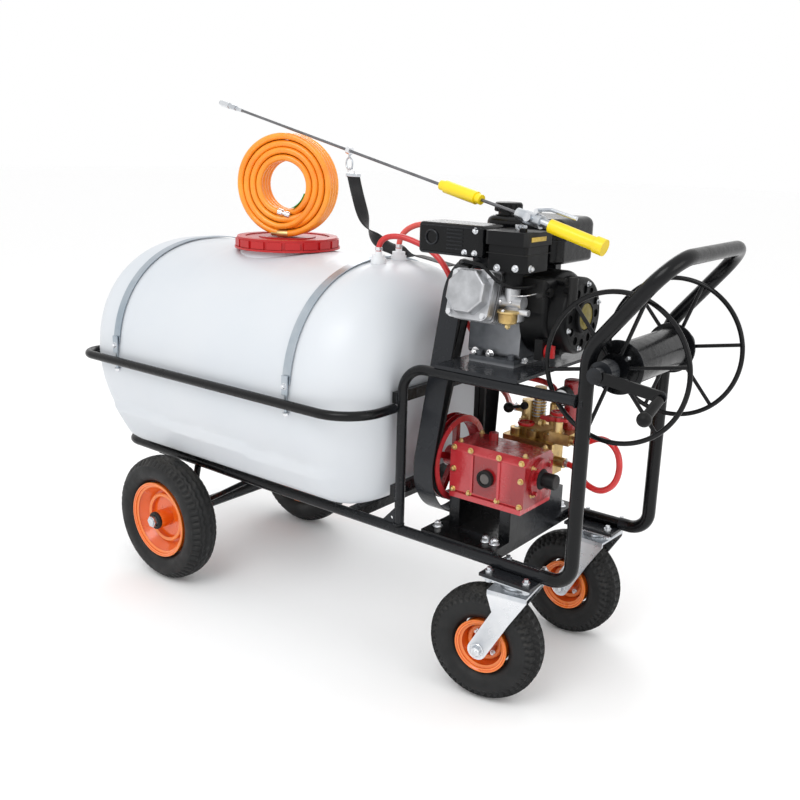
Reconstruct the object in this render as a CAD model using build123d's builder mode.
"""Wheeled orchard sprayer cart: tank, petrol engine, plunger pump, hose reel and lance.

Millimetres. X runs from the front of the tank (-) to the push handle (+), Y across
the cart, Z up from the floor. The origin is the middle of the footprint, on the floor.
"""
import math
import os

from build123d import *

os.makedirs("parts", exist_ok=True)

# ---- driving dimensions ------------------------------------------------------------
POST_X = 647.5            # rear posts of the push handle
MID_POST_X = 204.5        # posts between the tank and the machine bay
RAIL_Y = 190.0            # lower rails, either side
RAIL_Z = 316.0
RAIL_D = 25.0
RAIL_FRONT_X = -823.5
GUARD_Y = 345.0           # guard rail round the tank
GUARD_Z = 605.0
GUARD_D = 22.0
GUARD_FRONT_X = -778.5
SHELF_Z = 703.0           # rails that carry the engine
SHELF_D = 23.0
POST_Y = 188.0
POST_D = 30.0
HANDLE_X = 800.0          # crossbar of the push handle
HANDLE_Z = 992.0

AXLE_X = -531.5           # front axle
WHEEL_R = 171.5
WHEEL_W = 86.0
WHEEL_Y = 272.0
FRONT_RIM_R = 101.0
AXLE_R = 10.0
FIT = 0.05                # radial clearance of every running fit
GAP = 0.4                 # clearance between moving neighbours

CASTER_X = 521.5          # caster pivots
CASTER_Y = 187.0
CASTER_R = 130.0
CASTER_W = 84.0
CASTER_RIM_R = 58.0
CASTER_TRAIL = 60.0
CASTER_YAW = {"left": 8.7, "right": -2.1}
CASTER_BOLT_R = 6.0
SIDES = {"left": -1, "right": 1}

TANK_X0, TANK_X1 = -765.0, 176.0
TANK_HALF_W = 326.0
TANK_MID_Z = 608.0
TANK_TOP_Z = 903.0
TANK_BASE_Z = 331.0
FRONT_ROUND, REAR_ROUND = 60.0, 165.0
TANK_WALL = 9.0
TANK_CUT_X = (-700.0, -5.0)          # where the shell is cut into simpler pieces
TANK_CUT_Z = (430.0, 800.0)
TANK_PIECES = {
    "front": ((-800, -400, 300), (TANK_CUT_X[0], 400, 1000)),
    "rear": ((TANK_CUT_X[1], -400, 300), (200, 400, 1000)),
    "left": ((TANK_CUT_X[0], -400, TANK_CUT_Z[0]), (TANK_CUT_X[1], 0, TANK_CUT_Z[1])),
    "right": ((TANK_CUT_X[0], 0, TANK_CUT_Z[0]), (TANK_CUT_X[1], 400, TANK_CUT_Z[1])),
    "top": ((TANK_CUT_X[0], -400, TANK_CUT_Z[1]), (TANK_CUT_X[1], 400, 1000)),
    "bottom": ((TANK_CUT_X[0], -400, 300), (TANK_CUT_X[1], 400, TANK_CUT_Z[0]))}
LID_X = -336.5
LID_R = 134.0
LID_TOP_Z = 934.0
LID_SKIRT = 30.0
NECK_R = 115.0
STRAP_X = (-643.5, -19.5)
STRAP_W = 24.0

CRANK = Vector(0, 0, 834.0)          # engine crankshaft axis, along X
ENGINE_BASE_Z = 722.0
PTO_X = 297.5                        # flange face on the drive side
ENGINE_END_X = 541.5                 # outer face of the recoil starter
CYL_X = 357.5
BELT_X = 262.5                       # mid-plane of the belt drive
PUMP_Y, PUMP_Z = -55.0, 473.0        # pump crankshaft axis, along X
PUMP_X0, PUMP_X1 = 293.0, 487.5
PUMP_BASE_Z = 404.0
PLUNGER_X = (350.0, 394.0, 438.0)
MANIFOLD_Z = 556.0                   # top of the discharge manifold
PUMP_PULLEY_R = 102.0
ENGINE_PULLEY_R = 43.0
BELT_T = 8.0

REEL_X, REEL_Z = 682.5, 769.0
RING_R = 148.4
RING_Y = 141.5
WIRE_D = 10.0
DRUM_R = 44.0
REEL_SHAFT_R = 10.0

HOSE_D = 14.0
COIL_HOSE_D = 16.4
COIL_TURN_W = COIL_HOSE_D + 0.2
COIL_ROWS = 4
COIL_FRONT_R = 127.0
COIL_REAR_R = 132.0
COIL_HOLE_R = 61.0
COIL_X, COIL_Y = -318.0, -17.0
COIL_YAW = 21.0           # the coil stands at this angle to the cart

LANCE_TIP = Vector(-595.0, 14.0, 1269.0)
LANCE_JOINT = Vector(431.5, -100.0, 1042.0)
LANCE_D = 7.0
CAP_1 = Vector(14, -49, 898)       # hose bosses on top of the tank
CAP_2 = Vector(16, 26, 900)


# ---- helpers -----------------------------------------------------------------------
def save(piece, node):
    """Label a finished piece and write it as its own STEP file."""
    piece.label = node
    export_step(piece, f"parts/{node}.step")


def block(low, high, mode=Mode.ADD):
    """A box from its lowest to its highest corner, in the active part."""
    middle = [(a + b) / 2 for a, b in zip(low, high)]
    with Locations(tuple(middle)):
        return Box(*[b - a for a, b in zip(low, high)], mode=mode)


def rod(start, end, radius, mode=Mode.ADD):
    """A round bar between two points, in the active part."""
    start, end = Vector(*start), Vector(*end)
    with Locations(Plane(origin=start, z_dir=end - start)):
        return Cylinder(radius, (end - start).length, mode=mode,
                        align=(Align.CENTER, Align.CENTER, Align.MIN))


def disc(axis, at, radius, thickness, mode=Mode.ADD):
    """A round disc centred on a point, square to an axis."""
    with Locations(Plane(origin=Vector(*at), z_dir=Vector(*axis))):
        return Cylinder(radius, thickness, mode=mode)


def tube(points, radii, diameter):
    """A round bar swept along straight runs joined by tangent arcs."""
    with BuildPart() as run:
        with BuildLine() as path:
            FilletPolyline(*points, radius=radii)
        with BuildSketch(Plane(origin=path.line @ 0, z_dir=path.line % 0)):
            Circle(diameter / 2)
        sweep()
    return run.part


def bend_radii(points, share=0.45):
    """For each inner point of a route, the largest arc that its two runs allow."""
    radii = []
    for before, here, after in zip(points, points[1:], points[2:]):
        run_in, run_out = Vector(*here) - Vector(*before), Vector(*after) - Vector(*here)
        turn = math.radians(run_in.get_angle(run_out))
        radii.append(share * min(run_in.length, run_out.length) / math.tan(turn / 2))
    return radii


def cord(points, diameter, node):
    """A free hose as a plain tube, with its bends and volume printed for checking."""
    radii = bend_radii(points)
    hose = tube(points, radii, diameter)
    with BuildLine() as path:
        FilletPolyline(*points, radius=radii)
    length = sum(edge.length for edge in path.edges())
    expected = length * math.pi * (diameter / 2) ** 2
    print(f"{node}: length {length:.0f}, bends {[round(r) for r in radii]}, "
          f"volume/expected {hose.volume / expected:.3f}")
    save(hose, node)


def ring_of(axis_point, axis, radius, count, offset=0.0):
    """Points evenly spaced on a circle."""
    plane = Plane(origin=Vector(*axis_point), z_dir=Vector(*axis))
    angles = [math.radians(offset + 360 * i / count) for i in range(count)]
    return [plane.from_local_coords(Vector(radius * math.cos(a), radius * math.sin(a), 0))
            for a in angles]


# ---- frame -------------------------------------------------------------------------
def make_lower_frame():
    """Rail loop with cross members, caster plates, gussets and tank stops."""
    front_y = RAIL_Y - 10
    rear_x = POST_X - 60
    loop = tube([(rear_x, -RAIL_Y, RAIL_Z), (-200, -RAIL_Y, RAIL_Z),
                 (RAIL_FRONT_X, -front_y, RAIL_Z), (RAIL_FRONT_X, front_y, RAIL_Z),
                 (-200, RAIL_Y, RAIL_Z), (rear_x, RAIL_Y, RAIL_Z)],
                [2000, 55, 55, 2000], RAIL_D)
    with BuildPart() as lower_frame:
        add(loop)
        for x in (-650, -330, 60, 440):
            block((x - 15, -RAIL_Y, RAIL_Z - 12), (x + 15, RAIL_Y, RAIL_Z + 10))
        for side in (-1, 1):
            block((CASTER_X - 62, side * CASTER_Y - 52, RAIL_Z - RAIL_D / 2 - 5),
                  (CASTER_X + 62, side * CASTER_Y + 52, RAIL_Z - RAIL_D / 2 + 2))
            with BuildSketch(Plane.XZ.offset(-side * RAIL_Y - 2)):
                with BuildLine():
                    Polyline((MID_POST_X - 58, RAIL_Z), (MID_POST_X, RAIL_Z),
                             (MID_POST_X, RAIL_Z + 62), close=True)
                make_face()
                with Locations((MID_POST_X - 20, RAIL_Z + 24)):
                    Circle(4, mode=Mode.SUBTRACT)
            extrude(amount=4)
        with BuildSketch(Plane.YZ.offset(RAIL_FRONT_X - 2)):
            with BuildLine():
                Polyline((-70, RAIL_Z), (70, RAIL_Z), (60, RAIL_Z + 48), (-60, RAIL_Z + 48),
                         close=True)
            make_face()
        extrude(amount=4)
        for side in (-1, 1):
            for dx in (-45, 45):
                for dy in (-38, 38):
                    rod((CASTER_X + dx, side * CASTER_Y + dy, RAIL_Z - 25),
                        (CASTER_X + dx, side * CASTER_Y + dy, RAIL_Z), 5.2, Mode.SUBTRACT)
    save(lower_frame.part, "lower_frame")


def make_guard_rail():
    """Rail that runs round the tank at its widest and ends on the mid posts."""
    end_y = POST_Y + SHELF_D / 2
    side_x = MID_POST_X - 14
    rail = tube([(side_x, -end_y, GUARD_Z), (side_x, -GUARD_Y, GUARD_Z),
                 (GUARD_FRONT_X, -GUARD_Y, GUARD_Z), (GUARD_FRONT_X, GUARD_Y, GUARD_Z),
                 (side_x, GUARD_Y, GUARD_Z), (side_x, end_y, GUARD_Z)],
                [100, 48, 48, 100], GUARD_D)
    with BuildPart() as guard_rail:
        add(rail)
    save(guard_rail.part, "guard_rail")


def make_shelf_frame():
    """Mid posts that bend over into the shelf rails, with cross bars behind the tank."""
    with BuildPart() as shelf_frame:
        for side in (-1, 1):
            add(tube([(MID_POST_X, side * POST_Y, RAIL_Z + 12), (MID_POST_X, side * POST_Y, SHELF_Z),
                      (POST_X - 14, side * POST_Y, SHELF_Z)], 60, SHELF_D))
        for z in (407, 628):
            block((MID_POST_X - 23, -POST_Y - 8, z - 13), (MID_POST_X - 9, POST_Y + 8, z + 13))
    save(shelf_frame.part, "shelf_frame")


def make_handle_frame():
    """Rear posts with forward-bent feet, bent back at the top into the crossbar."""
    arm = [(POST_X - 68, RAIL_Z), (POST_X, RAIL_Z), (POST_X, 806), (HANDLE_X, HANDLE_Z)]
    points = [(x, -POST_Y, z) for x, z in arm] + [(x, POST_Y, z) for x, z in reversed(arm)]
    with BuildPart() as handle_frame:
        add(tube(points, [45, 90, 72, 72, 90, 45], POST_D))
        for side in (-1, 1):
            disc((0, 1, 0), (REEL_X, side * POST_Y, REEL_Z), 24, 34)
            block((POST_X, side * POST_Y - 5, REEL_Z - 14), (REEL_X, side * POST_Y + 5, REEL_Z + 14))
            rod((REEL_X, side * POST_Y - 30, REEL_Z), (REEL_X, side * POST_Y + 30, REEL_Z),
                REEL_SHAFT_R + FIT, Mode.SUBTRACT)
    save(handle_frame.part, "handle_frame")


def make_axle_frame():
    """Cross tube for the front axle, hung from the rails by struts and braces."""
    with BuildPart() as axle_frame:
        rod((AXLE_X, -RAIL_Y - 22, WHEEL_R), (AXLE_X, RAIL_Y + 22, WHEEL_R), 17)
        for side in (-1, 1):
            y = side * RAIL_Y
            rod((AXLE_X + 34, y, RAIL_Z - RAIL_D / 2 + 1), (AXLE_X, y, WHEEL_R), 9)
            rod((AXLE_X + 225, y, RAIL_Z - RAIL_D / 2 + 1), (AXLE_X, y, WHEEL_R), 7)
        rod((AXLE_X, -RAIL_Y - 30, WHEEL_R), (AXLE_X, RAIL_Y + 30, WHEEL_R), AXLE_R, Mode.SUBTRACT)
    save(axle_frame.part, "axle_frame")


def make_front_axle():
    """Solid axle with a castle nut and washer at each end."""
    end_y = WHEEL_Y + 58
    with BuildPart() as front_axle:
        rod((AXLE_X, -end_y, WHEEL_R), (AXLE_X, end_y, WHEEL_R), AXLE_R)
        for side in (-1, 1):
            with BuildSketch(Plane.XZ.offset(-side * (end_y - 9) - 7)):
                with Locations((AXLE_X, WHEEL_R)):
                    RegularPolygon(16, 6)
            extrude(amount=14)
            disc((0, 1, 0), (AXLE_X, side * (WHEEL_Y + 40.4), WHEEL_R), 17, 3)
    save(front_axle.part, "front_axle")


def make_machine_plates():
    """Engine plate on the shelf rails and pump plate on the lower rails."""
    engine_z = SHELF_Z + SHELF_D / 2
    pump_z = RAIL_Z + RAIL_D / 2
    with BuildPart() as machine_plates:
        block((291, -RAIL_Y - 5, engine_z), (498, RAIL_Y + 5, ENGINE_BASE_Z))
        block((268, -RAIL_Y, pump_z), (460, RAIL_Y, pump_z + 6))
        for x in (312, 446):
            block((x - 14, PUMP_Y - 68, pump_z + 6), (x + 14, PUMP_Y + 170, PUMP_BASE_Z))
        fillet(machine_plates.edges().filter_by(Axis.Z), 2)
    save(machine_plates.part, "machine_plates")


# ---- wheels and casters ------------------------------------------------------------
def wheel_pieces(radius, width, rim_r, bore, hub_half, hub_r):
    """Tyre and dished rim of one wheel, turned about Y at the origin."""
    half = width / 2
    with BuildPart() as tyre:
        with BuildSketch(Plane.YZ):
            with BuildLine():
                shoulder = radius - 0.16 * (radius - rim_r) - 6
                crown = ThreePointArc((-half * 0.78, shoulder), (0, radius), (half * 0.78, shoulder))
                right = ThreePointArc(crown @ 1, (half, (radius + rim_r) / 2), (half * 0.66, rim_r))
                inner = Line(right @ 1, (-half * 0.66, rim_r))
                ThreePointArc(inner @ 1, (-half, (radius + rim_r) / 2), crown @ 0)
            make_face()
        revolve(axis=Axis.Y)
    web_y = -half * 0.12
    with BuildPart() as rim:
        with BuildSketch(Plane.YZ):
            with BuildLine():
                Polyline((-hub_half, bore), (hub_half, bore), (hub_half, hub_r),
                         (web_y + 5, hub_r), (web_y + 5, rim_r * 0.72), (half * 0.6, rim_r - 7),
                         (half * 0.8, rim_r - 5), (half * 0.8, rim_r + 1.5),
                         (half * 0.74, rim_r + 1.5), (half * 0.72, rim_r), (-half * 0.72, rim_r),
                         (-half * 0.74, rim_r + 1.5), (-half * 0.8, rim_r + 1.5),
                         (-half * 0.8, rim_r - 5), (-half * 0.6, rim_r - 7),
                         (web_y - 2, rim_r * 0.72), (web_y - 2, hub_r), (-hub_half, hub_r),
                         close=True)
            make_face()
        revolve(axis=Axis.Y)
    return tyre.part, rim.part


def make_front_wheels():
    """Two fixed-direction wheels; the dish of each rim faces outwards."""
    tyre, rim = wheel_pieces(WHEEL_R, WHEEL_W, FRONT_RIM_R, AXLE_R + FIT, 38.0, 24.0)
    for name, side in SIDES.items():
        place = Location((AXLE_X, side * WHEEL_Y, WHEEL_R), (0, 0, 0 if side > 0 else 180))
        save(place * tyre, f"front_tyre_{name}")
        save(place * rim, f"front_rim_{name}")


def caster_place(name):
    """Frame of one caster: origin on its pivot at floor level, X towards the handle."""
    return Location((CASTER_X, SIDES[name] * CASTER_Y, 0), (0, 0, CASTER_YAW[name]))


def make_caster_wheels():
    """Pneumatic caster wheels on plain bores."""
    tyre, rim = wheel_pieces(CASTER_R, CASTER_W, CASTER_RIM_R, CASTER_BOLT_R + FIT, 40.0, 20.0)
    for name in SIDES:
        place = caster_place(name) * Location((-CASTER_TRAIL, 0, CASTER_R), (0, 0, 180))
        save(place * tyre, f"caster_tyre_{name}")
        save(place * rim, f"caster_rim_{name}")


def make_caster_forks():
    """Bent plate forks with kingpin, race and axle bolt."""
    crown_z = 277.0
    top_z = RAIL_Z - RAIL_D / 2 - 5
    leg_y = 48.0
    for name in SIDES:
        with BuildPart() as fork:
            block((-44, -leg_y - 5, crown_z - 5), (44, leg_y + 5, crown_z))
            for side in (-1, 1):
                with BuildSketch(Plane.XZ.offset(-side * (leg_y + 2.5) - 2.5)):
                    with BuildLine():
                        Polyline((-44, crown_z), (44, crown_z), (44, crown_z - 12),
                                 (8, crown_z - 70), (-CASTER_TRAIL + 19.3, CASTER_R - 10.6),
                                 (-CASTER_TRAIL - 19.3, CASTER_R + 10.6), (-31, crown_z - 49),
                                 (-44, crown_z - 12), close=True)
                    make_face()
                    with Locations((-CASTER_TRAIL, CASTER_R)):
                        Circle(22)
                extrude(amount=5)
            rod((0, 0, crown_z - 1), (0, 0, top_z - 5 - GAP), 30)
            rod((0, 0, crown_z - 14), (0, 0, top_z - GAP), 8)
            rod((-CASTER_TRAIL, -leg_y - 16, CASTER_R), (-CASTER_TRAIL, leg_y + 16, CASTER_R),
                CASTER_BOLT_R)
            for side in (-1, 1):
                with BuildSketch(Plane.XZ.offset(-side * (leg_y + 9) - 4)):
                    with Locations((-CASTER_TRAIL, CASTER_R)):
                        RegularPolygon(12, 6)
                extrude(amount=8)
        save(caster_place(name) * fork.part, f"caster_fork_{name}")


def make_caster_top_plates():
    """Zinc plates with their bolts, under the frame plates; each takes a kingpin."""
    top_z = RAIL_Z - RAIL_D / 2 - 5
    with BuildPart() as caster_top_plates:
        for side in (-1, 1):
            y = side * CASTER_Y
            block((CASTER_X - 56, y - 48, top_z - 5), (CASTER_X + 56, y + 48, top_z))
            for dx in (-45, 45):
                for dy in (-38, 38):
                    rod((CASTER_X + dx, y + dy, top_z - 12), (CASTER_X + dx, y + dy, top_z + 20), 5)
                    for z in (top_z - 12, top_z + 7):
                        rod((CASTER_X + dx, y + dy, z), (CASTER_X + dx, y + dy, z + 7), 8.5)
            rod((CASTER_X, y, top_z - 6), (CASTER_X, y, top_z + 1), 8 + FIT, Mode.SUBTRACT)
    save(caster_top_plates.part, "caster_top_plates")


# ---- tank --------------------------------------------------------------------------
def tank_section(width_scale, shrink):
    """Closed outline of the tank across the cart, as (y, z) points, scaled about its middle."""
    power = 2 / 2.24
    half_w, rise = TANK_HALF_W - shrink, TANK_TOP_Z - TANK_MID_Z - shrink
    upper = []
    for step in range(9):
        angle = math.radians(90 - 11.25 * step)
        upper.append((half_w * math.cos(angle) ** power if step else 0.0,
                      rise * math.sin(angle) ** power if step < 8 else 0.0))
    flank = [(318, 545), (296, 480), (262, 420), (218, 365), (168, TANK_BASE_Z + 4), (85, TANK_BASE_Z)]
    lower = [(y - shrink, z - TANK_MID_Z + shrink * (TANK_MID_Z - z) / (TANK_MID_Z - TANK_BASE_Z))
             for y, z in flank]
    half = [(y * width_scale, TANK_MID_Z + z * width_scale ** (1.0 if z > 0 else 0.75))
            for y, z in upper + lower]
    return half + [(-y, z) for y, z in reversed(half[1:])]


def tank_body(shrink):
    """Tank with rounded ends, full size or shrunk by the wall."""
    front, rear = TANK_X0 + FRONT_ROUND, TANK_X1 - REAR_ROUND
    with BuildPart() as body:
        for start, side, reach in ((front, -1, FRONT_ROUND - shrink), (rear, 1, REAR_ROUND - shrink)):
            for step in range(7):
                angle = math.radians(90 * step / 6)
                inset = reach * (1 - math.cos(angle)) * 0.97
                with BuildSketch(Plane.YZ.offset(start + side * reach * math.sin(angle))):
                    with BuildLine():
                        Spline(*tank_section(1 - inset / (TANK_HALF_W - shrink), shrink),
                               periodic=True)
                    make_face()
            loft()
        with BuildSketch(Plane.YZ.offset(front)):
            with BuildLine():
                Spline(*tank_section(1.0, shrink), periodic=True)
            make_face()
        extrude(amount=rear - front)
    return body.part


def make_tank():
    """Blow-moulded shell, open at the filling neck and hollow throughout."""
    outer = tank_body(0.0)
    inner = tank_body(TANK_WALL)
    with BuildPart() as tank_shell:
        add(outer)
        rod((LID_X, 0, TANK_TOP_Z - 30), (LID_X, 0, LID_TOP_Z - 8), NECK_R)
        add(inner, mode=Mode.SUBTRACT)
        rod((LID_X, 0, TANK_TOP_Z - 120), (LID_X, 0, LID_TOP_Z), NECK_R - 10, Mode.SUBTRACT)
    for node, (low, high) in TANK_PIECES.items():
        with BuildPart() as tank_piece:
            block(low, high)
            add(tank_shell.part, mode=Mode.INTERSECT)
        save(tank_piece.part, f"tank_{node}")


def make_tank_lid():
    """Ribbed screw lid over the neck."""
    with BuildPart() as tank_lid:
        rod((LID_X, 0, LID_TOP_Z - LID_SKIRT), (LID_X, 0, LID_TOP_Z), LID_R - 3)
        with Locations((LID_X, 0, LID_TOP_Z - LID_SKIRT / 2)):
            with PolarLocations(LID_R - 3, 18):
                Box(7, 38, LID_SKIRT - 12)
        rod((LID_X, 0, LID_TOP_Z - LID_SKIRT), (LID_X, 0, LID_TOP_Z - LID_SKIRT + 5), LID_R + 4)
        rod((LID_X, 0, LID_TOP_Z - LID_SKIRT - 1), (LID_X, 0, LID_TOP_Z - 7), NECK_R + 1.5,
            Mode.SUBTRACT)
        rod((LID_X, 0, LID_TOP_Z - 3), (LID_X, 0, LID_TOP_Z + 1), LID_R - 24, Mode.SUBTRACT)
        rod((LID_X, 0, LID_TOP_Z - 4), (LID_X, 0, LID_TOP_Z), LID_R - 60)
    save(tank_lid.part, "tank_lid")


def make_tank_fittings():
    """White hose bosses with barbs on the dome and the suction outlet at the back."""
    with BuildPart() as tank_fittings:
        for x, y, z in (CAP_1, CAP_2):
            rod((x, y, z - 8), (x, y, z + 13), 19)
            rod((x, y, z + 13), (x, y, z + 22), 16)
            rod((x, y, z + 22), (x, y, z + 30), HOSE_D / 2 + 1)
        rod((TANK_X1 - 14, 120, 372), (TANK_X1 + 3, 120, 372), 24)
        rod((TANK_X1 + 3, 120, 372), (TANK_X1 + 14, 120, 372), 14)
        add(tank_body(0.0), mode=Mode.SUBTRACT)
    save(tank_fittings.part, "tank_fittings")


def make_tank_straps():
    """Steel bands over the tank, ending in threaded hooks under the guard rail."""
    with BuildPart() as tank_straps:
        for x in STRAP_X:
            band = []
            for pad in (3.2, 5.2):
                half = [(y * (1 + pad / TANK_HALF_W), TANK_MID_Z + z * (1 + pad / 295))
                        for y, z in [(TANK_HALF_W * math.sin(a) ** (2 / 2.24),
                                      295 * math.cos(a) ** (2 / 2.24))
                                     for a in [math.radians(d) for d in range(0, 85, 7)]]]
                band.append([(-y, z) for y, z in reversed(half[1:])] + half)
            with BuildSketch(Plane.YZ.offset(x - STRAP_W / 2)):
                with BuildLine():
                    low = Spline(*band[0])
                    high = Spline(*band[1])
                    Line(low @ 0, high @ 0)
                    Line(low @ 1, high @ 1)
                make_face()
            extrude(amount=STRAP_W)
            for side in (-1, 1):
                y, z = band[1][0] if side < 0 else band[1][-1]
                rod((x, y - side * 1.5, z + 12), (x, side * (TANK_HALF_W + 3.5), GUARD_Z - 24), 3.5)
        add(tank_body(0.0), mode=Mode.SUBTRACT)
    save(tank_straps.part, "tank_straps")


# ---- engine ------------------------------------------------------------------------
CYL_TILT = math.radians(15.5)
CYL_DIR = Vector(0, -math.cos(CYL_TILT), math.sin(CYL_TILT))


def cylinder_plane(reach):
    """Plane square to the cylinder axis, at a distance from the crankshaft."""
    origin = Vector(CYL_X, 0, CRANK.Z) + CYL_DIR * reach
    return Plane(origin=origin, x_dir=(1, 0, 0), z_dir=CYL_DIR)


def make_engine_crankcase():
    """Crankcase with feet, drive flange and bearing bore."""
    with BuildPart() as engine_crankcase:
        with BuildSketch(Plane.YZ.offset(PTO_X + 6)):
            with BuildLine():
                Polyline((-84, ENGINE_BASE_Z + 14), (84, ENGINE_BASE_Z + 14), (90, 800), (88, 880),
                         (60, 912), (-36, 912), (-56, 894), (-79, 811), close=True)
            make_face()
            fillet(vertices(), 9)
        extrude(amount=130)
        block((323, -108, ENGINE_BASE_Z), (437, 102, ENGINE_BASE_Z + 14))
        for y in (-92, 86):
            for x in (340, 420):
                rod((x, y, ENGINE_BASE_Z + 13), (x, y, ENGINE_BASE_Z + 24), 8)
        rod((PTO_X, 0, CRANK.Z), (PTO_X + 8, 0, CRANK.Z), 58)
        for x, y, z in ring_of((PTO_X - 4, 0, CRANK.Z), (1, 0, 0), 48, 4, 45):
            rod((x, y, z), (x + 6, y, z), 5)
        rod((PTO_X - 1, 0, CRANK.Z), (PTO_X + 60, 0, CRANK.Z), 10 + FIT, Mode.SUBTRACT)
    save(engine_crankcase.part, "engine_crankcase")


def make_engine_cylinder():
    """Finned cylinder barrel and head."""
    with BuildPart() as engine_cylinder:
        with BuildSketch(cylinder_plane(70.5)):
            Circle(38)
        extrude(amount=86)
        for fin in range(9):
            with BuildSketch(cylinder_plane(80 + 8 * fin)):
                RectangleRounded(104, 96 if fin < 5 else 108, 10)
            extrude(amount=2.6)
        with BuildSketch(cylinder_plane(150)):
            RectangleRounded(100, 100, 12)
        extrude(amount=18)
    save(engine_cylinder.part, "engine_cylinder")


def make_rocker_cover():
    """Octagonal cover on a flange with four corner bolts."""
    with BuildPart() as rocker_cover:
        with BuildSketch(cylinder_plane(168.2)):
            with Locations((0, -2)):
                RectangleRounded(104, 104, 16)
        extrude(amount=6)
        with BuildSketch(cylinder_plane(174)):
            with Locations((0, 2)):
                RegularPolygon(47, 8, major_radius=False, rotation=22.5)
        extrude(amount=24, taper=8)
        top = rocker_cover.faces().sort_by(Axis((CYL_X, 0, CRANK.Z), CYL_DIR))[-1]
        fillet(top.edges(), 5)
        for x in (-42, 42):
            for y in (-44, 40):
                with BuildSketch(cylinder_plane(174)):
                    with Locations((x, y)):
                        RegularPolygon(6.5, 6)
                extrude(amount=6)
    save(rocker_cover.part, "rocker_cover")


def make_muffler():
    """Boxed silencer with its exhaust stub, over the cylinder head."""
    with BuildPart() as muffler:
        block((216, -165, 952), (380, -78, 1019))
        fillet(muffler.edges(), 9)
        block((335, -128, 926), (372, -92, 956))
    save(muffler.part, "muffler")


def make_air_cleaner():
    """Square air cleaner: base tray, cover with an overhanging rim and a wing nut."""
    with BuildPart() as air_cleaner:
        block((388, -160, 931), (481, -64, 985))
        block((384, -165, 985), (486, -60, 1012))
        fillet(air_cleaner.edges().filter_by(Axis.Z), 10)
        rod((434, -124, 896), (434, -124, 933), 20)
        rod((460, -140, 1010), (460, -140, 1019), 8)
    save(air_cleaner.part, "air_cleaner")


def make_carburetor():
    """Carburettor between the head and the air cleaner, with its float bowl."""
    with BuildPart() as carburetor:
        rod((410, -124, 866), (462, -124, 866), 15)
        rod((434, -124, 866), (434, -124, 895.5), 16)
        rod((440, -124, 852), (440, -124, 858), 19)
        rod((440, -124, 828), (440, -124, 853), 21)
        rod((440, -124, 820), (440, -124, 829), 6)
        rod((458, -130, 848), (478, -130, 848), 7)
    save(carburetor.part, "carburetor")


def make_fuel_tank():
    """Pressed steel fuel tank with seam flange and filler neck."""
    with BuildPart() as fuel_tank:
        block((302, -50, 940), (492, 124, 1034))
        fillet(fuel_tank.edges().filter_by(Axis.Z), 30)
        fillet(fuel_tank.faces().sort_by(Axis.Z)[-1].edges(), 18)
        fillet(fuel_tank.faces().sort_by(Axis.Z)[0].edges(), 8)
        with BuildSketch(Plane.XY.offset(988)):
            with Locations((397, 37)):
                RectangleRounded(198, 182, 34)
        extrude(amount=3)
        rod(FUEL_CAP_AT + Vector(0, 0, -24), FUEL_CAP_AT, 22)
        for y in (0, 90):
            block((330, y - 12, 912), (420, y + 12, 950))
    save(fuel_tank.part, "fuel_tank")


FUEL_CAP_AT = Vector(342, -8, 1040)


def make_fuel_cap():
    """Screw cap with grip ribs."""
    with BuildPart() as fuel_cap:
        rod(FUEL_CAP_AT + Vector(0, 0, GAP), FUEL_CAP_AT + Vector(0, 0, 20), 29)
        with Locations(FUEL_CAP_AT + Vector(0, 0, 9)):
            with PolarLocations(29, 18):
                Box(3, 5, 14)
        fillet(fuel_cap.faces().sort_by(Axis.Z)[-1].edges(), 3)
    save(fuel_cap.part, "fuel_cap")


def make_recoil_starter():
    """Fan housing and, in front of it, the recoil starter cover."""
    with BuildPart() as recoil_starter:
        with BuildSketch(Plane.YZ.offset(PTO_X + 136.4)):
            with Locations((0, CRANK.Z)):
                Circle(92)
            with Locations((-40, CRANK.Z + 45)):
                Rectangle(104, 70)
        extrude(amount=62)
        fillet(recoil_starter.faces().sort_by(Axis.X)[-1].edges(), 12)
        block((PTO_X + 180, -96, 746), (PTO_X + 198.4, -50, 790))
        rod((PTO_X + 198, 0, CRANK.Z), (ENGINE_END_X - 6, 0, CRANK.Z), 82)
        fillet(recoil_starter.faces().sort_by(Axis.X)[-1].edges(), 10)
        rod((ENGINE_END_X - 8, 0, CRANK.Z), (ENGINE_END_X, 0, CRANK.Z), 36)
        for x, y, z in ring_of((ENGINE_END_X - 10, 0, CRANK.Z), (1, 0, 0), 57, 12):
            rod((x, y, z), (x + 8, y, z), 9, Mode.SUBTRACT)
        for x, y, z in ring_of((PTO_X + 196, 0, CRANK.Z), (1, 0, 0), 86, 3, 30):
            rod((x, y, z), (x + 18, y, z), 8)
    save(recoil_starter.part, "recoil_starter")


STARTER_AT = Vector(524, -66, 896)
STARTER_DIR = Vector(0.8, -0.6, 0)


def make_starter_grip():
    """T-shaped pull grip resting on its rope eyelet."""
    start = STARTER_AT + STARTER_DIR * 6
    across = Vector(0, 0, 30)
    with BuildPart() as starter_grip:
        rod(start, start + STARTER_DIR * 26, 8)
        rod(start + STARTER_DIR * 30 - across, start + STARTER_DIR * 30 + across, 9)
    save(starter_grip.part, "starter_grip")


THROTTLE_AT = Vector(PTO_X + 198.4 + GAP, -84, 888)
SWITCH_AT = Vector(PTO_X + 198.4 + GAP, -76, 764)


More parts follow.
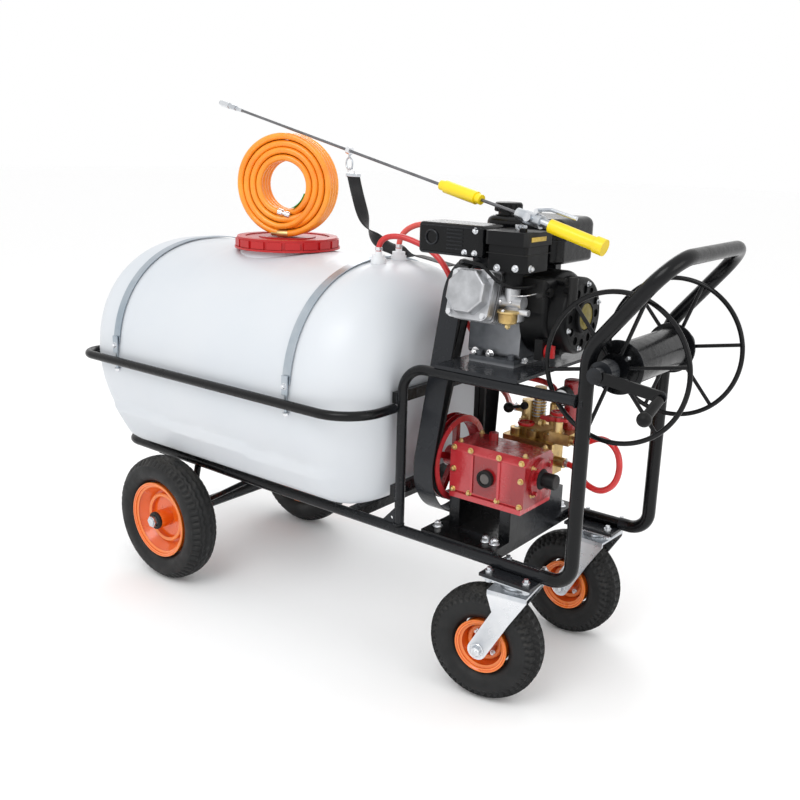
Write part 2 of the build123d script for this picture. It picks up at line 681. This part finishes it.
def make_engine_controls():
    """Throttle lever and rotary ignition switch."""
    with BuildPart() as throttle_lever:
        x, y, z = THROTTLE_AT
        rod((x, y, z), (x + 6, y, z), 9)
        block((x + 1, y - 44, z - 4), (x + 4, y, z + 4))
        rod((x, y - 46, z), (x + 14, y - 46, z), 7)
    save(throttle_lever.part, "throttle_lever")
    with BuildPart() as engine_switch:
        rod(SWITCH_AT, SWITCH_AT + Vector(8, 0, 0), 15)
        block((SWITCH_AT.X + 7, SWITCH_AT.Y - 4, SWITCH_AT.Z - 13),
              (SWITCH_AT.X + 17, SWITCH_AT.Y + 4, SWITCH_AT.Z + 13))
    save(engine_switch.part, "engine_switch")


def make_plug_cap():
    """Spark plug cap and its lead to the coil behind the fan housing."""
    foot = (338, -150, 938)
    elbow = (338, -176, 943)
    with BuildPart() as plug_cap:
        rod((338, -142, 933), foot, 6.5)
        rod(foot, elbow, 6.5)
    lead = tube([elbow, (354, -190, 949), (398, -190, 944), (432, -183, 914), (462, -170, 903),
                 (468, -132, 900), (468, -92, 900)], [9, 14, 12, 10, 16], 7)
    with BuildPart() as plug_and_lead:
        add(plug_cap.part)
        add(lead)
    save(plug_and_lead.part, "plug_cap")


# ---- belt drive --------------------------------------------------------------------
GROOVE_W = 13.6
GROOVE_STEP = 16.0
PULLEY_HALF_W = 17.2
BELT_INSET = 9.4          # belt's inner face below the pulley's outside


def grooved_rim(centre_y, centre_z, radius, depth):
    """Subtract the two belt grooves from a pulley in the active part."""
    for x in (BELT_X - GROOVE_STEP / 2, BELT_X + GROOVE_STEP / 2):
        with BuildSketch(Plane.YZ.offset(x - GROOVE_W / 2)) as groove:
            with Locations((centre_y, centre_z)):
                Circle(radius + 1)
                Circle(radius - depth, mode=Mode.SUBTRACT)
        extrude(groove.sketch, amount=GROOVE_W, mode=Mode.SUBTRACT)


def make_engine_pulley():
    """Drive pulley keyed to the engine crankshaft."""
    y, z = CRANK.Y, CRANK.Z
    with BuildPart() as engine_pulley:
        disc((1, 0, 0), (BELT_X, y, z), ENGINE_PULLEY_R, 2 * PULLEY_HALF_W)
        grooved_rim(y, z, ENGINE_PULLEY_R, BELT_INSET + GAP)
        rod((BELT_X - PULLEY_HALF_W - 6, y, z), (PTO_X + 55, y, z), 10)
        rod((BELT_X - PULLEY_HALF_W - 2, y, z), (BELT_X + PULLEY_HALF_W + 4, y, z), 19)
    save(engine_pulley.part, "engine_pulley")


def make_pump_pulley():
    """Five-spoke pulley on the pump crankshaft, which runs through to a covered stub."""
    with BuildPart() as pump_pulley:
        disc((1, 0, 0), (BELT_X, PUMP_Y, PUMP_Z), PUMP_PULLEY_R, 2 * PULLEY_HALF_W)
        disc((1, 0, 0), (BELT_X, PUMP_Y, PUMP_Z), PUMP_PULLEY_R - 15, 2 * PULLEY_HALF_W + 1,
             Mode.SUBTRACT)
        grooved_rim(PUMP_Y, PUMP_Z, PUMP_PULLEY_R, BELT_INSET + GAP)
        disc((1, 0, 0), (BELT_X, PUMP_Y, PUMP_Z), 25, 2 * PULLEY_HALF_W)
        for spoke in range(5):
            turn = 18 + 72 * spoke
            with BuildSketch(Plane.YZ.offset(BELT_X - 6)):
                with Locations(Location((PUMP_Y, PUMP_Z), turn)):
                    with Locations((PUMP_PULLEY_R / 2 + 2, 0)):
                        Rectangle(PUMP_PULLEY_R - 28, 15)
            extrude(amount=12)
        rod((BELT_X - PULLEY_HALF_W - 4, PUMP_Y, PUMP_Z), (PUMP_X1 + 18, PUMP_Y, PUMP_Z), 12)
        rod((PUMP_X1 + 8, PUMP_Y, PUMP_Z), (PUMP_X1 + 40, PUMP_Y, PUMP_Z), 16)
    save(pump_pulley.part, "pump_pulley")


def drive_loop(pad, x0, depth):
    """Solid round both pulleys: their common tangent hull grown by pad."""
    with BuildPart() as loop:
        with BuildSketch(Plane.YZ.offset(x0)):
            with Locations((CRANK.Y, CRANK.Z)):
                Circle(ENGINE_PULLEY_R + pad)
            with Locations((PUMP_Y, PUMP_Z)):
                Circle(PUMP_PULLEY_R + pad)
            make_hull()
        extrude(amount=depth)
    return loop.part


def make_drive_belts():
    """Two belts running in the grooves."""
    with BuildPart() as drive_belts:
        for x in (BELT_X - GROOVE_STEP / 2, BELT_X + GROOVE_STEP / 2):
            add(drive_loop(-BELT_INSET + BELT_T, x - 6.3, 12.6))
            add(drive_loop(-BELT_INSET, x - 6.3, 12.6), mode=Mode.SUBTRACT)
    save(drive_belts.part, "drive_belts")


def make_belt_guard():
    """Sheet-metal band round the belt drive, on a bracket from each machine plate."""
    with BuildPart() as belt_guard:
        with BuildSketch(Plane.YZ.offset(GUARD_X0)):
            with Locations((CRANK.Y, CRANK.Z)):
                Circle(98)
            with Locations((PUMP_Y, PUMP_Z)):
                Circle(128)
            make_hull()
        extrude(amount=GUARD_X1 - GUARD_X0)
        with BuildSketch(Plane.YZ.offset(GUARD_X0 - 1)):
            with Locations((CRANK.Y, CRANK.Z)):
                Circle(96)
            with Locations((PUMP_Y, PUMP_Z)):
                Circle(126)
            make_hull()
        extrude(amount=GUARD_X1 - GUARD_X0 + 2, mode=Mode.SUBTRACT)
        for y0, y1 in ((-126, -80), (54, 90)):
            block((GUARD_X1 - 12, y0, 714.6), (GUARD_X1 + 2, y1, 717))
    save(belt_guard.part, "belt_guard")


GUARD_X0, GUARD_X1 = 237.0, 289.0


# ---- pump --------------------------------------------------------------------------
def make_pump_crankcase():
    """Ribbed crankcase with feet, end cover and oil plug, bored for the crankshaft."""
    with BuildPart() as pump_crankcase:
        block((PUMP_X0, PUMP_Y - 64, PUMP_BASE_Z + 12), (PUMP_X1, PUMP_Y + 58, 529))
        chamfer(pump_crankcase.faces().sort_by(Axis.Z)[-1].edges().filter_by(Axis.X), 14)
        fillet(pump_crankcase.edges().filter_by(Axis.X), 5)
        for x in (PUMP_X0 + 60, PUMP_X0 + 130):
            block((x - 3, PUMP_Y - 67, PUMP_BASE_Z + 20), (x + 3, PUMP_Y - 60, 512))
        block((PUMP_X0 + 4, PUMP_Y - 68, PUMP_BASE_Z), (PUMP_X1 - 4, PUMP_Y + 62, PUMP_BASE_Z + 12))
        rod((PUMP_X1 - 1, PUMP_Y, PUMP_Z), (PUMP_X1 + 7, PUMP_Y, PUMP_Z), 46)
        for x, y, z in ring_of((PUMP_X1, PUMP_Y, PUMP_Z), (1, 0, 0), 38, 4, 45):
            rod((x, y, z), (x + 12, y, z), 5)
        rod((PUMP_X0 + 98, PUMP_Y - 72, PUMP_Z - 6), (PUMP_X0 + 98, PUMP_Y - 60, PUMP_Z - 6), 15)
        rod((PUMP_X0 + 60, PUMP_Y + 20, 528), (PUMP_X0 + 60, PUMP_Y + 20, 546), 11)
        rod((PUMP_X0 - 1, PUMP_Y, PUMP_Z), (PUMP_X1 + 8, PUMP_Y, PUMP_Z), 12 + FIT, Mode.SUBTRACT)
    save(pump_crankcase.part, "pump_crankcase")


def make_pump_head():
    """Brass plunger barrels, valve head with steel caps, and discharge manifold."""
    with BuildPart() as pump_head:
        for x in PLUNGER_X:
            rod((x, PUMP_Y + 58, PUMP_Z), (x, 46, PUMP_Z), 18)
            rod((x, 70, 518), (x, 70, 536), 15)
        block((326, 45, 446), (462, 98, 520))
        fillet(pump_head.edges().filter_by(Axis.Z), 4)
        block((352, 76, 519), (508, 98, MANIFOLD_Z))
        block((458, 30, 530), (508, 98, MANIFOLD_Z))
        rod((394, 97, 470), (394, 112, 470), 16)
        rod((394, 112, 470), (394, 124, 470), 13)
        rod((507, 42, 543), (518, 42, 543), 10)
        rod((461, 62, 478), (486, 62, 478), 12)
    save(pump_head.part, "pump_head")


def make_pump_valves():
    """Pressure regulator with spring column, outlet tap bodies and the hose elbow."""
    with BuildPart() as pump_valves:
        rod((370, 84, MANIFOLD_Z), (370, 84, 604), 15)
        rod((356, 84, 578), (343, 84, 578), 8)
        rod((400, 84, MANIFOLD_Z), (400, 84, 566), 17)
        rod((400, 84, 566), (400, 84, 640), 14)
        rod((474, 42, MANIFOLD_Z), (474, 42, 580), 10)
        rod((438, 84, MANIFOLD_Z), (438, 84, 606), 10)
        rod((438, 84, 604), (430, 104, 614), 8)
        rod((438, 76, 576), (438, 64, 576), 7)
    save(pump_valves.part, "pump_valves")


def make_air_chamber():
    """Pulsation chamber: steel body under a red dome cap."""
    with BuildPart() as air_chamber:
        rod((482, 82, MANIFOLD_Z), (482, 82, 640), 16)
        rod((482, 82, 640), (482, 82, 672), 20)
        fillet(air_chamber.faces().sort_by(Axis.Z)[-1].edges(), 6)
    save(air_chamber.part, "air_chamber")


def make_pump_levers():
    """Regulator lever with ball, and the two tap handles."""
    pivot = Vector(370, 84 - 15 - GAP, 592)
    with BuildPart() as regulator_lever:
        rod(pivot, pivot + Vector(0, -6, 0), 9)
        rod(pivot + Vector(0, -3, 0), pivot + Vector(-32, -12, -8), 3.5)
        with Locations(pivot + Vector(-36, -14, -9)):
            Sphere(12.5)
    save(regulator_lever.part, "regulator_lever")
    with BuildPart() as tap_lever_front:
        rod((474, 42, 580 + GAP), (474, 42, 590), 9)
        block((452, 36, 582), (496, 48, 589))
        fillet(tap_lever_front.edges().filter_by(Axis.Z), 2.5)
    save(tap_lever_front.part, "tap_lever_front")
    with BuildPart() as tap_lever_rear:
        rod((438, 64 - GAP, 576), (438, 56, 576), 8)
        block((418, 57, 571), (458, 63, 581))
        fillet(tap_lever_rear.edges().filter_by(Axis.Y), 2.5)
    save(tap_lever_rear.part, "tap_lever_rear")


# ---- hoses -------------------------------------------------------------------------
def make_hoses():
    """Agitator and return hoses from the dome, suction hose, and the delivery loop."""
    cord([(14, -49, 928), (14, -49, 946), (34, -46, 964), (68, -36, 967), (106, -25, 956),
          (146, -20, 940), (182, -20, 914), (204, -14, 876), (206, 6, 830), (207, 38, 784),
          (208, 76, 744), (212, 108, 704), (230, 126, 668), (264, 133, 646), (300, 130, 640),
          (342, 134, 642), (386, 138, 638), (420.4, 128, 626), (430, 104, 614)],
         HOSE_D, "agitator_hose")
    cord([(16, 26, 930), (16, 26, 950), (32, 30, 975), (62, 38, 991), (98, 50, 992), (132, 66, 978),
          (162, 84, 948), (188, 102, 906), (204, 122, 856), (208, 138, 804), (208, 150, 752),
          (209, 158, 700), (215, 160, 648), (238, 154, 606), (278, 138, 586), (306, 104, 579),
          (322, 84, 578), (343, 84, 578)], HOSE_D, "return_hose")
    cord([(TANK_X1 + 14, 120, 372), (216, 120, 372), (262, 136, 388), (306, 154, 412),
          (348, 166, 440), (386, 168, 462), (394, 148, 470), (394, 124, 470)], 22, "suction_hose")
    cord([(518, 42, 543), (544, 42, 543), (578, 34, 566), (612, 26, 564), (636, 18, 544),
          (644, 12, 508), (634, 8, 474), (606, 8, 454), (574, 14, 456), (546, 28, 466),
          (514, 62, 478), (486, 62, 478)], HOSE_D, "delivery_hose")


# ---- hose reel ---------------------------------------------------------------------
def make_hose_reel():
    """Welded reel: drum, flanges, wire rings and spokes on one shaft."""
    with BuildPart() as hose_reel:
        rod((REEL_X, -224, REEL_Z), (REEL_X, 208, REEL_Z), REEL_SHAFT_R)
        rod((REEL_X, -132, REEL_Z), (REEL_X, 132, REEL_Z), DRUM_R)
        rod((REEL_X, -126, REEL_Z), (REEL_X, 126, REEL_Z), DRUM_R - 3, Mode.SUBTRACT)
        rod((REEL_X, -126, REEL_Z), (REEL_X, 126, REEL_Z), REEL_SHAFT_R)
        for side in (-1, 1):
            y = side * RING_Y
            rod((REEL_X, side * 131, REEL_Z), (REEL_X, y + side * 6, REEL_Z), 30)
            disc((0, 1, 0), (REEL_X, side * 128, REEL_Z), 54, 4)
            with Locations(Plane(origin=(REEL_X, y, REEL_Z), z_dir=(0, 1, 0))):
                Torus(RING_R, WIRE_D / 2)
            rim = ring_of((REEL_X, y, REEL_Z), (0, 1, 0), RING_R, 6, 20)
            for x, ring_y, z in rim:
                rod((REEL_X, y, REEL_Z), (x, ring_y, z), 4)
    save(hose_reel.part, "hose_reel")


CRANK_END = Vector(812, -221, 752)
KNOB_DIR = Vector(0, -0.93, -0.37).normalized()


def make_reel_crank():
    """Crank arm on the shaft end, with its grip pin and free-turning knob."""
    hub = Vector(REEL_X, -218, REEL_Z)
    arm = CRANK_END - Vector(REEL_X, -221, REEL_Z)
    with BuildPart() as reel_crank:
        rod(hub + Vector(0, 3, 0), hub + Vector(0, -12, 0), 16)
        with BuildSketch(Plane(origin=Vector(REEL_X, -221, REEL_Z), x_dir=arm, z_dir=(0, -1, 0))):
            with Locations((arm.length / 2, 0)):
                SlotCenterToCenter(arm.length, 22)
        extrude(amount=6)
        rod(CRANK_END, CRANK_END + KNOB_DIR * 70, 5)
        rod(hub + Vector(0, 4, 0), (REEL_X, -224, REEL_Z), REEL_SHAFT_R, Mode.SUBTRACT)
    save(reel_crank.part, "reel_crank")
    with BuildPart() as crank_knob:
        start = CRANK_END + KNOB_DIR * 12
        rod(start, start + KNOB_DIR * 60, 9.5)
        with Locations(start + KNOB_DIR * 62):
            Sphere(13.5)
        rod(start - KNOB_DIR * 1, start + KNOB_DIR * 59, 5 + FIT, Mode.SUBTRACT)
    save(crank_knob.part, "crank_knob")


# ---- lance and coil ----------------------------------------------------------------
LANCE_DIR = (LANCE_JOINT - LANCE_TIP).normalized()
LANCE_LENGTH = (LANCE_JOINT - LANCE_TIP).length
HANDLE_DIR = Vector(1, 0, -0.276).normalized()


def on_lance(distance):
    """Point on the lance axis, measured from the nozzle."""
    return LANCE_TIP + LANCE_DIR * distance


def make_lance():
    """Lance tube, nozzle and hook, valve body, yellow grips, trigger and carrying strap."""
    with BuildPart() as lance_tube:
        rod(on_lance(10), on_lance(LANCE_LENGTH - 12), LANCE_D / 2)
    save(lance_tube.part, "lance_tube")
    hook = on_lance(523)
    grip_start = on_lance(LANCE_LENGTH + 52)
    with BuildPart() as lance_fittings:
        rod(LANCE_TIP, on_lance(34), 8)
        rod(on_lance(33), on_lance(64), 6.5)
        rod(on_lance(63), on_lance(92), 5)
        rod(on_lance(9), on_lance(93), LANCE_D / 2, Mode.SUBTRACT)
        rod(LANCE_TIP - LANCE_DIR * 8, LANCE_TIP, 6)
        disc(LANCE_DIR, hook, 9, 12)
        rod(hook, hook + Vector(0, 0, -16), 3)
        disc(LANCE_DIR, hook, LANCE_D / 2, 14, Mode.SUBTRACT)
        with Locations(Plane(origin=hook + Vector(0, 0, -30), z_dir=(0.3, 1, 0))):
            Torus(14, 2)
    save(lance_fittings.part, "lance_fittings")
    with BuildPart() as lance_valve:
        rod(on_lance(LANCE_LENGTH - 12), on_lance(LANCE_LENGTH + 10), 12)
        rod(on_lance(LANCE_LENGTH + 10), on_lance(LANCE_LENGTH + 52), 14)
        rod(on_lance(LANCE_LENGTH + 24), on_lance(LANCE_LENGTH + 24) + Vector(0, -20, 4), 9)
        rod(grip_start - HANDLE_DIR * 4, grip_start + HANDLE_DIR * 20, 9.5)
    save(lance_valve.part, "lance_valve")
    with BuildPart() as lance_grips:
        rod(on_lance(828), on_lance(842), 11)
        rod(on_lance(842), on_lance(932), 14)
        rod(on_lance(932), on_lance(946), 11)
        rod(on_lance(827), on_lance(947), LANCE_D / 2, Mode.SUBTRACT)
        rod(grip_start + HANDLE_DIR * 20, grip_start + HANDLE_DIR * 128, 14)
        rod(grip_start + HANDLE_DIR * 126, grip_start + HANDLE_DIR * 146, 17)
    save(lance_grips.part, "lance_grips")
    pivot = on_lance(LANCE_LENGTH + 40) + Vector(0, 0, 15.4 + GAP)
    with BuildPart() as lance_trigger:
        rod(pivot + Vector(0, -9, 4), pivot + Vector(0, 9, 4), 5)
        rod(pivot + Vector(0, 0, 6), pivot + Vector(30, 0, 8), 4)
        rod(pivot + Vector(29, 0, 8), pivot + Vector(88, 0, -6), 4)
    save(lance_trigger.part, "lance_trigger")


STRAP_ROUTE = [(-75, -42, 1101), (-79, -20, 1053), (-76, 2, 997), (-66, 20, 960), (-44, 38, 934),
               (-10, 56, 920), (36, 62, 913), (92, 62, 906), (150, 62, 897)]


def make_lance_strap():
    """Webbing strap hanging from the hook ring down over the back of the tank."""
    with BuildPart() as lance_strap:
        with BuildLine() as path:
            Spline(*STRAP_ROUTE)
        with BuildSketch(Plane(origin=path.line @ 0, x_dir=(0.35, 0.94, 0), z_dir=path.line % 0)):
            Rectangle(28, 2)
        sweep()
    save(lance_strap.part, "lance_strap")


def make_hose_coil():
    """Outer shape of the coiled spray hose standing on the lid, and its end fitting."""
    base = Plane(origin=(COIL_X, COIL_Y, LID_TOP_Z + GAP),
                 x_dir=(math.cos(math.radians(COIL_YAW)), math.sin(math.radians(COIL_YAW)), 0),
                 z_dir=(math.sin(math.radians(COIL_YAW)), -math.cos(math.radians(COIL_YAW)), 0))
    half = COIL_ROWS * COIL_TURN_W / 2
    with BuildPart() as hose_coil:
        for start, depth, radius, lift in (
                (half - COIL_TURN_W, COIL_TURN_W, COIL_FRONT_R, 1.0),
                (-half, (COIL_ROWS - 1) * COIL_TURN_W, COIL_REAR_R, 0.0)):
            with BuildSketch(base.offset(start)):
                with Locations((0, radius + lift)):
                    Circle(radius)
                with Locations((0, COIL_FRONT_R)):
                    Circle(COIL_HOLE_R, mode=Mode.SUBTRACT)
            extrude(amount=depth)
    save(hose_coil.part, "hose_coil")


if __name__ == "__main__":
    make_lower_frame()
    make_guard_rail()
    make_shelf_frame()
    make_handle_frame()
    make_axle_frame()
    make_front_axle()
    make_machine_plates()
    make_front_wheels()
    make_caster_wheels()
    make_caster_forks()
    make_caster_top_plates()
    make_tank()
    make_tank_lid()
    make_tank_fittings()
    make_tank_straps()
    make_engine_crankcase()
    make_engine_cylinder()
    make_rocker_cover()
    make_muffler()
    make_air_cleaner()
    make_carburetor()
    make_fuel_tank()
    make_fuel_cap()
    make_recoil_starter()
    make_starter_grip()
    make_engine_controls()
    make_plug_cap()
    make_engine_pulley()
    make_pump_pulley()
    make_drive_belts()
    make_belt_guard()
    make_pump_crankcase()
    make_pump_head()
    make_pump_valves()
    make_air_chamber()
    make_pump_levers()
    make_hoses()
    make_hose_reel()
    make_reel_crank()
    make_lance()
    make_lance_strap()
    make_hose_coil()
